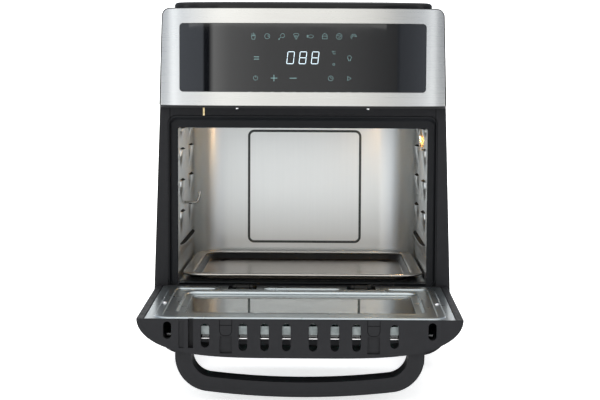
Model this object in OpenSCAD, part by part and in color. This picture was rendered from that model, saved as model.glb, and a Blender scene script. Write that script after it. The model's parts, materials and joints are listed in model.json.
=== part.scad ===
/* [Body] */
// Distance across the housing at its lower corners
body_w = 329; // [322:1:334]
// Distance across the housing at its top
top_w = 304; // [298:0.2:308]
// Housing depth, front plate to rear edge
body_d = 288; // [280:1:320]
// Height of the housing's top above the table
body_top = 392; // [388:1:400]
// Height of the feet
foot_h = 14; // [10:1:18]
// Thickness of the housing's moulded wall
wall = 2.4; // [1.6:0.1:3]

/* [Cavity] */
// Width of the cavity opening
open_w = 272.4; // [264:0.2:274]
// Height of the opening's lower edge above the table
open_z = 91; // [91:0.5:92]
// Height of the cavity opening
open_h = 172; // [160:1:176]
// Depth of the cavity from the front plate
cavity_d = 255; // [240:1:262]
// Thickness of the sheet metal of the liner
sheet = 0.8; // [0.6:0.1:1]

/* [Fascia] */
// Height of the fascia's lower edge above the table
fascia_z = 288; // [287:0.5:290]
// How far the fascia and the door bulge forward
bulge_d = 38.6; // [34:0.2:42]
// Width of the control glass
glass_w = 263.6; // [240:0.2:270]
// Height of the control glass
glass_h = 73; // [66:1:80]

/* [Door] */
// Width of the door
door_w = 318; // [312:1:322]
// Length of the door from hinge edge to free edge
door_h = 195; // [190:0.5:195]
// How far past level the open door hangs, in degrees
door_droop = 2.1; // [0:0.1:2.2]
// Width of the handle, outside its legs
handle_w = 244.2; // [220:0.2:250]
// Reach of the handle from the door's inner plane
handle_d = 79; // [72:0.2:80]

/* [Tray] */
// Width of the tray over its rim
tray_w = 268; // [250:1:268]
// Depth of the tray over its rim
tray_d = 232; // [200:1:236]
// Height of the tray's rim above the table
tray_z = 102; // [100:0.5:106]

/* [Hidden] */
$fn = 48;

door_rise = 1.8;
bumper_d = 22;
// Y = 0 lies midway between the open door's far edge and the wall bumper
door_reach = 3.5 + (door_h - 1) * cos(door_droop);
front_y = round((door_reach - body_d - bumper_d) / 2);
back_y = front_y + body_d;
low_r = 34;
top_r = 9;
play = 0.3;
plan_step = 3;
frame_half = 147;
frame_top = 277;
kick_z = 58;
liner_y0 = front_y + 4.8;
liner_y1 = front_y + cavity_d;
liner_half = open_w / 2 + 0.4;
floor_z = open_z + 1.6;
ceiling_z = 268;
fan_y = front_y + 134;
well_r = 104;
well_top = 297;
shaft_r = 3;
shield_z = 318;
motor_z = 330;
lid_h = 6.5;
lid_half = 139.5;
lid_edge = 2.5;
lip_h = 2.6;
glass_mid = fascia_z + 50.9;
sheet_steel = 1.2;
fascia_half = 157;
hinge_x = 64.5;
hinge_y = front_y - 3.5;
hinge_z = open_z - 2;
hinge_r = 3;
hinge_pin_r = 1.5;
ear_gap = 7.5;
ear_w = 3;
shell_t = 3.4;
panel_w = door_w - 14;
catch_x = 70;
catch_y = front_y - 27.5;
catch_r = 3.5;
catch_tip_z = 282.2;
catch_top_z = 299.3;
catch_bore_z = 289.8;
catch_cap_z = 303.5;
catch_spring_h = 9;
lever_x = -106.2;
lever_y = front_y - 20;
lever_pivot_z = 295;
lever_tip_z = 276.9;
lever_slot = 6.6;
lamp_y = front_y + 88;
lamp_z = 251;
lamp_r = 12;
hook_y = front_y + 90;
hook_z = 174.6;
recess_w = 248;
recess_h = 122;
recess_z = 98.7;
notch_in = 49;
notch_out = 80;
notch_d = 21;
panel_screw_x = 139;
panel_screw_z = 112;
slot_w = 8.3;
handle_bar = 14.7;
handle_leg = 16;
handle_tall = 26;
handle_z = door_h - 34;
handle_screw_z = door_h - 21;
board_half = 104;
board_y = front_y - 24.6;
motor_r = 12;
tray_bottom = floor_z;
tray_y0 = front_y + 12;
tray_r = 28;
plate_t = 1.5;
rear_screw_x = 0.8125;
rear_screw_z = [50, 210, 350];

function unit(v) = v / norm(v);
function plan_point(t, half, deep) = [half * sign(sin(t)) * sqrt(abs(sin(t))), -deep * cos(t)];
function half_at(z) = (body_w + (top_w - body_w) * (z - foot_h) / (body_top - foot_h)) / 2;

// A convex outline, counter-clockwise, with a round of its own radius at each corner
module rounded(points, radii) {
  n = len(points);
  to_last = [for (i = [0:n - 1]) unit(points[(i + n - 1) % n] - points[i])];
  to_next = [for (i = [0:n - 1]) unit(points[(i + 1) % n] - points[i])];
  half = [for (i = [0:n - 1]) acos(to_last[i] * to_next[i]) / 2];
  polygon([for (i = [0:n - 1], d = [to_last[i], to_next[i]]) points[i] + d * radii[i] / tan(half[i])]);
  for (i = [0:n - 1])
    translate(points[i] + unit(to_last[i] + to_next[i]) * radii[i] / sin(half[i])) circle(radii[i]);
}

module rounded_box(w, h, r) {
  rounded([[-w / 2, -h / 2], [w / 2, -h / 2], [w / 2, h / 2], [-w / 2, h / 2]], [r, r, r, r]);
}

// Stands an outline drawn in X and Z up, and runs it from y0 to y1
module along_y(y0, y1) {
  translate([0, y1, 0]) rotate([90, 0, 0]) linear_extrude(y1 - y0) children();
}

// Runs an outline drawn in Y and Z from x0 to x1
module along_x(x0, x1) {
  translate([x0, 0, 0]) rotate([90, 0, 90]) linear_extrude(x1 - x0) children();
}

module pair(x) {
  for (side = [-1, 1]) translate([side * x, 0, 0]) children();
}

module mirrored() {
  children();
  mirror([1, 0, 0]) children();
}

module tube(r_out, r_in, h) {
  difference() {
    cylinder(h = h, r = r_out);
    translate([0, 0, -1]) cylinder(h = h + 2, r = r_in);
  }
}

module ring(r, wire) {
  rotate_extrude() translate([r, 0]) circle(wire, $fn = 24);
}

module block(x0, y0, z0, x1, y1, z1) {
  translate([x0, y0, z0]) cube([x1 - x0, y1 - y0, z1 - z0]);
}

// The housing's front view, drawn in by inset: tapered sides and rounded corners
module housing_outline(inset) {
  low = body_w / 2 - inset;
  high = top_w / 2 - inset;
  z0 = foot_h + inset;
  z1 = body_top - inset;
  rounded([[-low, z0], [low, z0], [high, z1], [-high, z1]],
          [low_r - inset, low_r - inset, top_r - inset, top_r - inset]);
}

// The plan that the door and the fascia share: nearly flat in front, turning in at the ends
module bulge_plan(half, deep) {
  polygon([for (t = [-90:plan_step:90]) plan_point(t, half, deep)]);
}

// A block with the bulged plan, drawn in by inset on every side, from z0 to z1
module bulge_block(y, z0, z1, half, inset) {
  translate([0, y, z0]) linear_extrude(z1 - z0) bulge_plan(half - inset, bulge_d - 0.2 - inset);
}

// An upright outline centred at height z, run from y0 to y1, with round corners
module panel_block(y0, y1, z, w, h, r) {
  along_y(y0, y1) translate([0, z]) rounded_box(w, h, r);
}

// The opening in the housing's front plate
module front_window() {
  mid = (kick_z + frame_top) / 2;
  translate([0, mid]) rounded_box(2 * frame_half, frame_top - kick_z, 9);
}

module side_vents(y0, z0, count) {
  for (i = [0:count - 1]) along_x(-200, 200) translate([y0 + i * 9, z0]) square([4, 34]);
}

module housing_shell() {
  color([0.2, 0.2, 0.21]) difference() {
    along_y(front_y, back_y) housing_outline(0);
    along_y(front_y + wall, back_y + 1) housing_outline(wall);
    along_y(front_y - 1, front_y + wall + 1) front_window();
    block(-111, front_y + wall, foot_h - 1, 111, back_y + 1, foot_h + wall + 1);
    block(-118, front_y - 1, fascia_z + 10, 118, front_y + wall + 1, body_top - 14);
    side_vents(front_y + 184, 318, 9);
    side_vents(front_y + 34, 34, 8);
  }
}

module top_cover() {
  color([0.05, 0.05, 0.06]) {
    translate([0, front_y, body_top]) linear_extrude(lid_h - lid_edge) lid_plan(0);
    translate([0, front_y, body_top + lid_h - lid_edge]) linear_extrude(lid_edge) lid_plan(lid_edge);
  }
}

module lid_plan(inset) {
  half = lid_half - inset;
  bulge_plan(half, 30 - inset);
  translate([-half, 0]) square([2 * half, body_d - 8 - inset]);
}

module back_panel() {
  color([0.24, 0.24, 0.25]) difference() {
    along_y(back_y - 4, back_y - 4 + plate_t) housing_outline(wall + play);
    for (z = [150:16:230], i = [-5:5]) block(i * 18 - 6, back_y - 9, z, i * 18 + 6, back_y + 1, z + 5);
    for (i = [-6:6]) block(i * 14 - 2, back_y - 9, 300, i * 14 + 2, back_y + 1, 340);
    along_y(back_y - 9, back_y + 1) translate([105, 60]) circle(8);
    along_y(back_y - 9, back_y + 1) for (side = [-1, 1], z = rear_screw_z)
      translate([side * rear_screw_x * half_at(z), z]) circle(1.7);
  }
}

module rear_spacer() {
  color([0.15, 0.15, 0.16]) {
    difference() {
      block(-40, back_y - 2.5, 110, 40, back_y + bumper_d, 122);
      block(-36, back_y + 2, 109, 36, back_y + bumper_d - 4, 123);
    }
  }
}

module base_plate() {
  color([0.3, 0.3, 0.31]) difference() {
    block(-110.8, front_y + wall + 0.2, foot_h, 110.8, back_y - 4.4, foot_h + plate_t);
    for (y = [front_y + 66:26:back_y - 66], x = [-88:22:88])
      block(x - 8, y - 2, foot_h - 1, x + 8, y + 2, foot_h + 4);
  }
}

module feet() {
  color([0.08, 0.08, 0.08]) for (x = [-128, 128], y = [front_y + 22, back_y - 26])
    translate([x, y, 0]) {
      cylinder(h = 3, r = 8.5);
      translate([0, 0, 3]) cylinder(h = foot_h - 3, r = 7.5);
    }
}

module front_frame() {
  color([0.17, 0.17, 0.18]) difference() {
    along_y(front_y + wall + 0.1, front_y + 4.6) translate([0, 170.5]) square([302, 229], center = true);
    along_y(front_y, front_y + 6) translate([0, open_z + open_h / 2]) rounded_box(open_w, open_h, 3);
    mirrored() for (x = [hinge_x - ear_gap - ear_w - 1, hinge_x + ear_gap - 1])
      block(x, front_y, hinge_z - 17, x + ear_w + 2, front_y + 6, open_z + 1);
  }
}

module fascia_carrier() {
  color([0.1, 0.1, 0.11]) difference() {
    union() {
      intersection() {
        bulge_block(front_y - 0.2, fascia_z - lip_h, fascia_z, fascia_half, 0.4);
        along_y(front_y - 60, front_y - 0.2) housing_outline(0.8);
      }
      intersection() {
        bulge_block(front_y - 0.2, fascia_z - 0.1, fascia_z + 2.5, fascia_half, 2);
        along_y(front_y - 60, front_y) housing_outline(2 * sheet_steel + 0.2);
      }
      difference() {
        block(-146, front_y - 3, fascia_z + 2.5, 146, front_y - 0.2, body_top - 6);
        block(-112, front_y - 4, fascia_z + 12, 112, front_y, body_top - 16);
      }
      for (x = [-60, 0, 60]) block(x - 1, front_y - 22, fascia_z + 2.5, x + 1, front_y - 3, fascia_z + 9);
    }
    pair(catch_x) translate([0, catch_y, fascia_z - lip_h - 1]) cylinder(h = 12, r = catch_r + 0.08);
    block(lever_x - 2, lever_y - 6, fascia_z - lip_h - 1, lever_x + 2, lever_y + 8, fascia_z + 4);
  }
}

module control_fascia() {
  color([0.8, 0.79, 0.77]) difference() {
    intersection() {
      bulge_block(front_y - 0.2, fascia_z, body_top, fascia_half, 0);
      along_y(front_y - 60, front_y - 0.2) housing_outline(sheet_steel);
    }
    intersection() {
      bulge_block(front_y, fascia_z - 1, body_top + 1, fascia_half, sheet_steel);
      along_y(front_y - 60, front_y + 1) housing_outline(2 * sheet_steel);
    }
    panel_block(front_y - 60, front_y - 8, glass_mid, glass_w, glass_h, 4);
  }
}

module control_glass() {
  color([0.03, 0.03, 0.035]) intersection() {
    difference() {
      bulge_block(front_y - 0.2, fascia_z + 4, body_top - 4, fascia_half, 0.3);
      bulge_block(front_y, fascia_z, body_top, fascia_half, 2.6);
    }
    panel_block(front_y - 60, front_y - 8, glass_mid, glass_w - 0.4, glass_h - 0.4, 3.8);
  }
}

module display_module() {
  color([0.06, 0.06, 0.07]) block(-32, front_y - 34, glass_mid - 12, 34, front_y - 25, glass_mid + 14);
}

module control_board() {
  color([0.05, 0.3, 0.12]) {
    block(-board_half, board_y, glass_mid - 32, board_half, board_y + 1.6, glass_mid + 34);
    block(-90, board_y + 1.6, glass_mid - 20, -66, board_y + 6.6, glass_mid);
    block(60, board_y + 1.6, glass_mid - 26, 92, board_y + 9.6, glass_mid - 16);
  }
}

module buzzer() {
  color([0.05, 0.05, 0.05]) translate([40, board_y + 1.6, glass_mid + 18]) rotate([-90, 0, 0]) difference() {
    cylinder(h = 8, r = 6);
    translate([0, 0, 6]) cylinder(h = 3, r = 1.2);
  }
}

// Sprung pads that join the board to the touch glass
module touch_springs() {
  color([0.75, 0.75, 0.75]) for (x = [-74, -56, -38], z = [-24, 24])
    translate([x, board_y - 0.2, glass_mid + z]) rotate([90, 0, 0]) tube(3.5, 2.6, 7.5);
}

module power_board() {
  color([0.1, 0.32, 0.14]) {
    translate([-104, fan_y + 10, 322]) cube([1.6, 100, 60]);
    translate([-102.4, fan_y + 22, 330]) cube([20, 30, 16]);
    translate([-102.4, fan_y + 70, 352]) cube([16, 22, 18]);
    translate([-102.4, fan_y + 38, 364]) rotate([0, 90, 0]) cylinder(h = 22, r = 8);
    translate([-102.4, fan_y + 64, 338]) rotate([0, 90, 0]) cylinder(h = 18, r = 6);
  }
}

module heat_shield() {
  color([0.7, 0.7, 0.7]) difference() {
    block(-146, front_y + 6, shield_z, 146, back_y - 6, shield_z + sheet);
    translate([0, fan_y, shield_z - 1]) cylinder(h = 3, r = 46);
  }
}

// A louvre pressed into the side wall: flat on top, running out to the wall below
module louvre(y, z, long, tall, proud) {
  along_y(y, y + long) polygon([[0, z], [proud, z], [proud, z - 3], [0, z - tall]]);
}

module side_wall() {
  translate([-liner_half, 0, 0]) {
    block(-sheet, liner_y0, floor_z - sheet, 0, liner_y1, ceiling_z);
    for (z = [238, 203, 168]) {
      louvre(front_y + 34, z, 36, 29, 4.6);
      louvre(front_y + 146, z, 42, 27, 4.6);
    }
    for (y = [front_y + 34, front_y + 146]) louvre(y, 262, 36, 16, 4.6);
    louvre(front_y + 30, 132, 178, 14, 5);
  }
}

module cavity_left() {
  color([0.72, 0.73, 0.73]) side_wall();
}

module cavity_right() {
  color([0.72, 0.73, 0.73]) difference() {
    mirror([1, 0, 0]) side_wall();
    along_x(liner_half - 8, liner_half + 4) translate([lamp_y, lamp_z]) circle(lamp_r + play);
  }
}

module cavity_back() {
  color([0.74, 0.75, 0.75]) {
    block(-liner_half, liner_y1, floor_z - sheet, liner_half, liner_y1 + sheet, ceiling_z);
    along_y(liner_y1 - 1.2, liner_y1) translate([0, 182]) difference() {
      rounded_box(142, 142, 7);
      rounded_box(136, 136, 5);
    }
  }
}

module cavity_floor() {
  color([0.7, 0.7, 0.7]) block(-liner_half, liner_y0, floor_z - sheet, liner_half, liner_y1, floor_z);
}

module cavity_ceiling() {
  color([0.7, 0.7, 0.7]) difference() {
    block(-liner_half - sheet, liner_y0, ceiling_z, liner_half + sheet, liner_y1 + sheet, ceiling_z + sheet);
    translate([0, fan_y, ceiling_z - 1]) cylinder(h = 3, r = well_r);
  }
}

module fan_well() {
  color([0.68, 0.68, 0.69]) translate([0, fan_y, ceiling_z + sheet]) difference() {
    cylinder(h = well_top - ceiling_z - sheet, r = well_r + sheet);
    translate([0, 0, -1]) cylinder(h = well_top - ceiling_z - 2 * sheet + 1, r = well_r);
    cylinder(h = 60, r = shaft_r + 1);
    rotate([0, 0, 90]) for (x = [-6, 6]) translate([x, -81.5, 0]) cylinder(h = 60, r = 3.8);
  }
}

// Wire grille under the fan
module heater_guard() {
  color([0.78, 0.78, 0.78]) translate([0, fan_y, ceiling_z - 1.6]) {
    for (r = [26, 46, 66, 86, 106]) ring(r, 1.2);
    for (a = [0:45:315]) rotate([0, 0, a]) translate([26, 0, 0]) rotate([0, 90, 0]) cylinder(h = 80, r = 1.1);
  }
}

module heating_element() {
  color([0.35, 0.3, 0.28]) translate([0, fan_y, ceiling_z + 8]) {
    ring(92, 3.3);
    ring(78, 3.3);
    rotate([0, 0, 90]) translate([-85, 0, 0]) cube([14, 3, 3], center = true);
    rotate([0, 0, 90]) for (x = [-6, 6]) translate([x, -81.5, 0]) cylinder(h = 34, r = 3.3);
  }
}

module fan_blades(count, r_in, r_out, z0, z1, lean) {
  for (i = [0:count - 1]) rotate([0, 0, i * 360 / count]) translate([r_in, 0, z0])
    rotate([0, 0, lean]) translate([0, -0.5, 0]) cube([r_out - r_in, 1, z1 - z0]);
}

module convection_fan() {
  color([0.7, 0.7, 0.7]) translate([0, fan_y, 0]) difference() {
    union() {
      translate([0, 0, 291]) cylinder(h = 1.2, r = 56);
      translate([0, 0, 280]) cylinder(h = 11, r = 9);
      fan_blades(12, 20, 56, 281, 291, 0);
    }
    translate([0, 0, 270]) cylinder(h = 30, r = shaft_r);
  }
}

module fan_shaft() {
  color([0.8, 0.8, 0.8]) translate([0, fan_y, 278]) cylinder(h = 82, r = shaft_r);
}

module cooling_fan() {
  color([0.75, 0.75, 0.76]) translate([0, fan_y, 0]) difference() {
    union() {
      translate([0, 0, 302]) cylinder(h = 1.2, r = 44);
      translate([0, 0, 302]) cylinder(h = 12, r = 8);
      fan_blades(8, 7, 44, 303, 312, 0);
    }
    translate([0, 0, 295]) cylinder(h = 30, r = shaft_r);
  }
}

module motor_rotor() {
  color([0.4, 0.38, 0.36]) translate([0, fan_y, motor_z + 1]) tube(motor_r, shaft_r, 20);
}

module motor_stator() {
  color([0.45, 0.42, 0.4]) difference() {
    union() {
      translate([-30, fan_y - 26, motor_z]) cube([60, 52, 18]);
      translate([-24, fan_y + 26, motor_z - 5]) cube([48, 16, 28]);
    }
    translate([0, fan_y, motor_z - 10]) cylinder(h = 60, r = motor_r + 0.5);
  }
}

module motor_bearings() {
  color([0.75, 0.6, 0.3]) translate([0, fan_y, 0]) {
    translate([0, 0, motor_z - 7]) tube(7, shaft_r + 0.05, 5);
    translate([0, 0, motor_z + 24]) tube(7, shaft_r + 0.05, 4);
  }
}

// Straps above and below the motor that hold its bearings, on posts from the heat shield
module motor_bracket() {
  color([0.66, 0.66, 0.67]) {
    difference() {
      union() {
        block(-58, fan_y - 9, motor_z - 6, 58, fan_y + 9, motor_z - 4);
        block(-40, fan_y - 9, motor_z + 25, 40, fan_y + 9, motor_z + 27);
        pair(35) translate([-1, fan_y - 9, motor_z - 4]) cube([2, 18, 29]);
        pair(52) translate([0, fan_y, shield_z + sheet]) cylinder(h = motor_z - 6 - shield_z - sheet, r = 4);
      }
      translate([0, fan_y, motor_z - 10]) cylinder(h = 60, r = 7);
    }
  }
}

module lamp_lens() {
  color([0.95, 0.9, 0.8]) translate([liner_half, lamp_y, lamp_z]) rotate([0, -90, 0]) difference() {
    union() {
      cylinder(h = 3, r = lamp_r);
      translate([0, 0, -2.5]) cylinder(h = 2.5, r = lamp_r);
    }
    translate([0, 0, -3]) cylinder(h = 4.6, r = lamp_r - 2);
  }
}

module lamp_bulb() {
  color([1, 0.9, 0.7]) translate([liner_half + 1.4, lamp_y, lamp_z]) rotate([0, -90, 0]) {
    translate([0, 0, -2]) sphere(3);
    translate([0, 0, -6]) cylinder(h = 4, r = 3);
  }
}

module lamp_holder() {
  color([0.85, 0.84, 0.8]) translate([liner_half + sheet, lamp_y, lamp_z]) rotate([0, 90, 0]) difference() {
    cylinder(h = 13, r = lamp_r + 2);
    translate([0, 0, -1]) cylinder(h = 8, r = lamp_r + play);
  }
}

// Wire hook that carries the end of a rotisserie spit
module spit_hook() {
  color([0.8, 0.78, 0.74]) translate([-liner_half, hook_y, hook_z]) {
    rotate([0, 90, 0]) cylinder(h = 15, r = 1.4);
    translate([15, 0, 0]) sphere(1.4);
    translate([15, 0, 0]) rotate([0, 12, 0]) cylinder(h = 14, r = 1.4);
  }
}

module temperature_probe() {
  color([0.8, 0.8, 0.8]) translate([-100, liner_y1, 261]) rotate([90, 0, 0]) {
    translate([0, 0, -9]) cylinder(h = 9 - sheet, r = 5);
    cylinder(h = 28, r = 2);
  }
}

module thermal_cutout() {
  color([0.9, 0.88, 0.84]) translate([90, fan_y + 70, ceiling_z + sheet]) {
    cylinder(h = 6, r = 8);
    translate([-2.5, -1, 6]) cube([2, 6, 8]);
    translate([1.5, -1, 6]) cube([2, 6, 8]);
  }
}

module terminal_block() {
  color([0.9, 0.9, 0.88]) translate([80, back_y - 30, 56]) difference() {
    cube([34, 14, 12]);
    for (i = [0:2]) translate([7 + i * 10, 7, 4]) cylinder(h = 9, r = 2.6);
  }
}

module cord_gland() {
  color([0.06, 0.06, 0.06]) translate([105, back_y - 8, 60]) rotate([-90, 0, 0]) difference() {
    union() {
      cylinder(h = 4, r = 11);
      cylinder(h = 7.5, r = 7.9);
      translate([0, 0, 5.8]) cylinder(h = 3, r = 11);
    }
    translate([0, 0, -1]) cylinder(h = 20, r = 4);
  }
}

// The tray's plan, drawn in by inset
module tray_plan(inset) {
  translate([0, tray_y0 + tray_d / 2]) rounded_box(tray_w - 2 * inset, tray_d - 2 * inset, tray_r - inset);
}

module baking_tray() {
  rim = 13.5;
  rim_h = 6;
  color([0.55, 0.53, 0.5]) difference() {
    union() {
      translate([0, 0, tray_z - rim_h]) linear_extrude(rim_h) tray_plan(0);
      translate([0, 0, tray_bottom]) linear_extrude(tray_z - tray_bottom) tray_plan(rim);
    }
    translate([0, 0, tray_bottom + sheet]) linear_extrude(30) tray_plan(rim + sheet);
    translate([0, 0, tray_z - rim_h - 1]) linear_extrude(rim_h) difference() {
      tray_plan(sheet);
      tray_plan(rim);
    }
  }
}

// Ears of the hinges, standing on a plate behind the front frame
module hinge_brackets() {
  color([0.12, 0.12, 0.13]) mirrored() difference() {
    union() {
      block(hinge_x - 15, front_y + 4.6, hinge_z - 24, hinge_x + 15, front_y + 6.6, hinge_z - 3);
      for (x = [hinge_x - ear_gap - ear_w, hinge_x + ear_gap]) along_x(x, x + ear_w) {
        polygon([[hinge_y, hinge_z - hinge_r], [front_y + 5, hinge_z - 15], [front_y + 5, hinge_z - 3],
                 [hinge_y + 1, hinge_z + 2.6]]);
        translate([hinge_y, hinge_z]) circle(hinge_r);
      }
    }
    translate([0, hinge_y, hinge_z]) rotate([0, 90, 0]) cylinder(h = 200, r = hinge_pin_r);
  }
}

module hinge_pins() {
  reach = ear_gap + ear_w + 1;
  color([0.8, 0.8, 0.8]) mirrored() along_x(hinge_x - reach, hinge_x + reach)
    translate([hinge_y, hinge_z]) circle(hinge_pin_r);
}

// Places a door piece drawn shut, with its inner plane at Y = 0 and its hinge edge at Z = 0
module hung_open() {
  translate([0, hinge_y, hinge_z]) rotate([90 + door_droop, 0, 0]) translate([0, door_rise, -1]) children();
}

module door_slot(x, y0, y1, w) {
  translate([x, y1 + w / 2, door_h - 12]) cylinder(h = 20, r = w / 2);
  translate([x, y0 - w / 2, door_h - 12]) cylinder(h = 20, r = w / 2);
  translate([x - w / 2, y1 + w / 2, door_h - 12]) cube([w, y0 - y1 - w, 20]);
}

module door_shell() {
  color([0.22, 0.22, 0.23]) hung_open() difference() {
    linear_extrude(door_h) bulge_plan(door_w / 2, bulge_d);
    intersection() {
      translate([0, 1, shell_t]) linear_extrude(door_h - shell_t - 7)
        bulge_plan(door_w / 2 - shell_t, bulge_d - shell_t);
      block(-148, -60, 0, 148, -6, door_h);
    }
    block(-panel_w / 2 + 8, -7, 6, panel_w / 2 - 8, 1, door_h - 9);
    block(-panel_w / 2 - play, -1.2, 1, panel_w / 2 + play, 1, door_h - 1);
    panel_block(-60, -22, 88, 216, 128, 12);
    mirrored() for (x = [13, 34.2, 55.3]) door_slot(x, -4.2, -31.6, slot_w);
    mirrored() door_slot(92.2, -4.8, -28.4, slot_w);
    mirrored() door_slot(129, -2.8, -20, 8);
    block(-117.9, -29, door_h - 1.6, -112.9, -2.4, door_h + 1);
    block(lever_x - 2.5, -29, door_h - lever_slot, lever_x + 2.5, 1, door_h + 1);
    mirrored() block(catch_x - 4, -34, door_h - 2.6, catch_x + 8, -17, door_h + 1);
    mirrored() along_y(-60, -20) translate([handle_w / 2 - handle_leg / 2, handle_screw_z]) circle(1.6);
    mirrored() block(notch_in, -11, -1, notch_out, 1, notch_d);
  }
}

module door_panel() {
  half = panel_w / 2;
  color([0.66, 0.69, 0.7]) hung_open() difference() {
    union() {
      block(-half, -1, 1.2, half, 0, door_h - 1.2);
      panel_block(-3.6, -0.9, recess_z, recess_w, recess_h, 12);
    }
    panel_block(-3.6 + sheet, 1, recess_z, recess_w - 2 * sheet, recess_h - 2 * sheet, 12 - sheet);
    panel_block(-9, 1, recess_z, recess_w - 16, recess_h - 16, 8);
    mirrored() block(notch_in, -3, 0, notch_out, 1, notch_d);
    block(lever_x - 2.5, -3, door_h - lever_slot, lever_x + 2.5, 1, door_h);
    pair(panel_screw_x) along_y(-9, 1) translate([0, panel_screw_z]) circle(1.6);
  }
}

module door_inner_glass() {
  color([0.75, 0.85, 0.83, 0.5]) hung_open() panel_block(-7.6, -3.6, recess_z, recess_w + 4, recess_h + 4, 4);
}

module door_outer_glass() {
  color([0.3, 0.4, 0.38, 0.6]) hung_open() block(-131, -20.2, 10, 131, -16.2, door_h - 11);
}

// The handle's plan: a bowed bar with a round corner at each end that turns into a leg
module handle_plan(half, deep, corner, bow_r) {
  bow_y = bow_r - deep;
  corner_x = half - corner;
  corner_y = bow_y - sqrt(pow(bow_r - corner, 2) - pow(corner_x, 2));
  tangent_x = corner_x * bow_r / (bow_r - corner);
  intersection() {
    translate([0, bow_y]) circle(bow_r, $fn = 180);
    translate([-tangent_x, -deep - 1]) square([2 * tangent_x, deep]);
  }
  translate([-half, corner_y]) square([2 * half, -corner_y]);
  for (side = [-1, 1]) translate([side * corner_x, corner_y]) circle(corner);
}

module door_handle() {
  bow_r = 761;
  color([0.2, 0.2, 0.22]) hung_open() difference() {
    translate([0, 0, handle_z]) linear_extrude(handle_tall) difference() {
      handle_plan(handle_w / 2, handle_d, 35, bow_r);
      handle_plan(handle_w / 2 - handle_leg, handle_d - handle_bar, 21, bow_r - handle_bar);
    }
    translate([0, 0, door_h - 60]) linear_extrude(80) bulge_plan(door_w / 2, bulge_d);
    mirrored() along_y(-60, -20) translate([handle_w / 2 - handle_leg / 2, handle_screw_z]) circle(1.5);
  }
}

// Screws from inside the door into the handle's legs
module handle_screws() {
  color([0.6, 0.6, 0.6]) hung_open() mirrored() {
    along_y(-44, -27.6) translate([handle_w / 2 - handle_leg / 2, handle_screw_z]) circle(1.5);
    along_y(-27.6, -25.4) translate([handle_w / 2 - handle_leg / 2, handle_screw_z]) circle(3);
  }
}

module panel_screws() {
  color([0.85, 0.85, 0.86]) hung_open() pair(panel_screw_x) translate([0, 0, panel_screw_z]) {
    rotate([-90, 0, 0]) cylinder(h = 1.2, r = 2.6);
    rotate([90, 0, 0]) cylinder(h = 6, r = 1.6);
  }
}

module hinge_arms() {
  color([0.12, 0.12, 0.13]) hung_open() mirrored() difference() {
    union() {
      along_x(hinge_x - 7, hinge_x + 7) translate([-door_rise, 1]) circle(hinge_r);
      block(hinge_x - 7, -4, 1, hinge_x + 7, -1.6, 34);
    }
    along_x(hinge_x - 20, hinge_x + 20) translate([-door_rise, 1]) circle(hinge_pin_r + 0.05);
  }
}

module catch_sleeves() {
  z0 = fascia_z + 2.5;
  color([0.3, 0.3, 0.32]) pair(catch_x) translate([0, catch_y, z0]) difference() {
    cylinder(h = catch_cap_z + 1.5 - z0, r = 6);
    translate([0, 0, -1]) cylinder(h = catch_cap_z - z0 + 1, r = catch_r + 0.08);
  }
}

module catch_springs() {
  color([0.8, 0.8, 0.8]) pair(catch_x) translate([0, catch_y, catch_cap_z - catch_spring_h])
    tube(2, 1.4, catch_spring_h);
}

module catch_plunger(side) {
  color([0.85, 0.84, 0.8]) translate([side * catch_x, catch_y, 0]) difference() {
    union() {
      translate([0, 0, catch_tip_z + catch_r]) sphere(catch_r);
      translate([0, 0, catch_tip_z + catch_r]) cylinder(h = catch_top_z - catch_tip_z - catch_r, r = catch_r);
    }
    translate([0, 0, catch_bore_z]) cylinder(h = 20, r = 2.4);
  }
}

module catch_plunger_left() {
  catch_plunger(-1);
}

module catch_plunger_right() {
  catch_plunger(1);
}

module door_switch() {
  color([0.1, 0.1, 0.1]) {
    block(lever_x - 6, lever_y + 5, 302, lever_x + 6, lever_y + 14, 314);
    block(lever_x - 5, lever_y - 3, fascia_z + 2.5, lever_x - 2.2, lever_y + 3, lever_pivot_z + 4);
    block(lever_x + 2.2, lever_y - 3, fascia_z + 2.5, lever_x + 5, lever_y + 3, lever_pivot_z + 4);
  }
}

module switch_pivot() {
  color([0.8, 0.8, 0.8]) along_x(lever_x - 2.2, lever_x + 2.2) translate([lever_y, lever_pivot_z]) circle(1);
}

module switch_lever() {
  color([0.8, 0.68, 0.4]) difference() {
    along_x(lever_x - 1, lever_x + 1) {
      translate([lever_y, lever_pivot_z]) circle(2.4);
      translate([lever_y - 0.9, lever_tip_z]) square([1.8, 311.5 - lever_tip_z]);
    }
    along_x(lever_x - 9, lever_x + 9) translate([lever_y, lever_pivot_z]) circle(1.05);
  }
}

// Screws that hold the back panel
module housing_screws() {
  color([0.7, 0.7, 0.7]) for (side = [-1, 1], z = rear_screw_z)
    translate([side * rear_screw_x * half_at(z), back_y - 4 + plate_t, z]) rotate([90, 0, 0]) {
      translate([0, 0, -2]) cylinder(h = 2, r = 3.2);
      cylinder(h = 6, r = 1.6);
    }
}

housing_shell();
top_cover();
back_panel();
rear_spacer();
base_plate();
feet();
front_frame();
fascia_carrier();
control_fascia();
control_glass();
display_module();
control_board();
buzzer();
touch_springs();
power_board();
heat_shield();
cavity_left();
cavity_right();
cavity_back();
cavity_floor();
cavity_ceiling();
fan_well();
heater_guard();
heating_element();
convection_fan();
fan_shaft();
cooling_fan();
motor_rotor();
motor_stator();
motor_bearings();
motor_bracket();
lamp_lens();
lamp_bulb();
lamp_holder();
spit_hook();
temperature_probe();
thermal_cutout();
terminal_block();
cord_gland();
baking_tray();
hinge_brackets();
hinge_pins();
door_shell();
door_panel();
door_inner_glass();
door_outer_glass();
door_handle();
handle_screws();
panel_screws();
hinge_arms();
catch_sleeves();
catch_springs();
catch_plunger_left();
catch_plunger_right();
door_switch();
switch_pivot();
switch_lever();
housing_screws();
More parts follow.
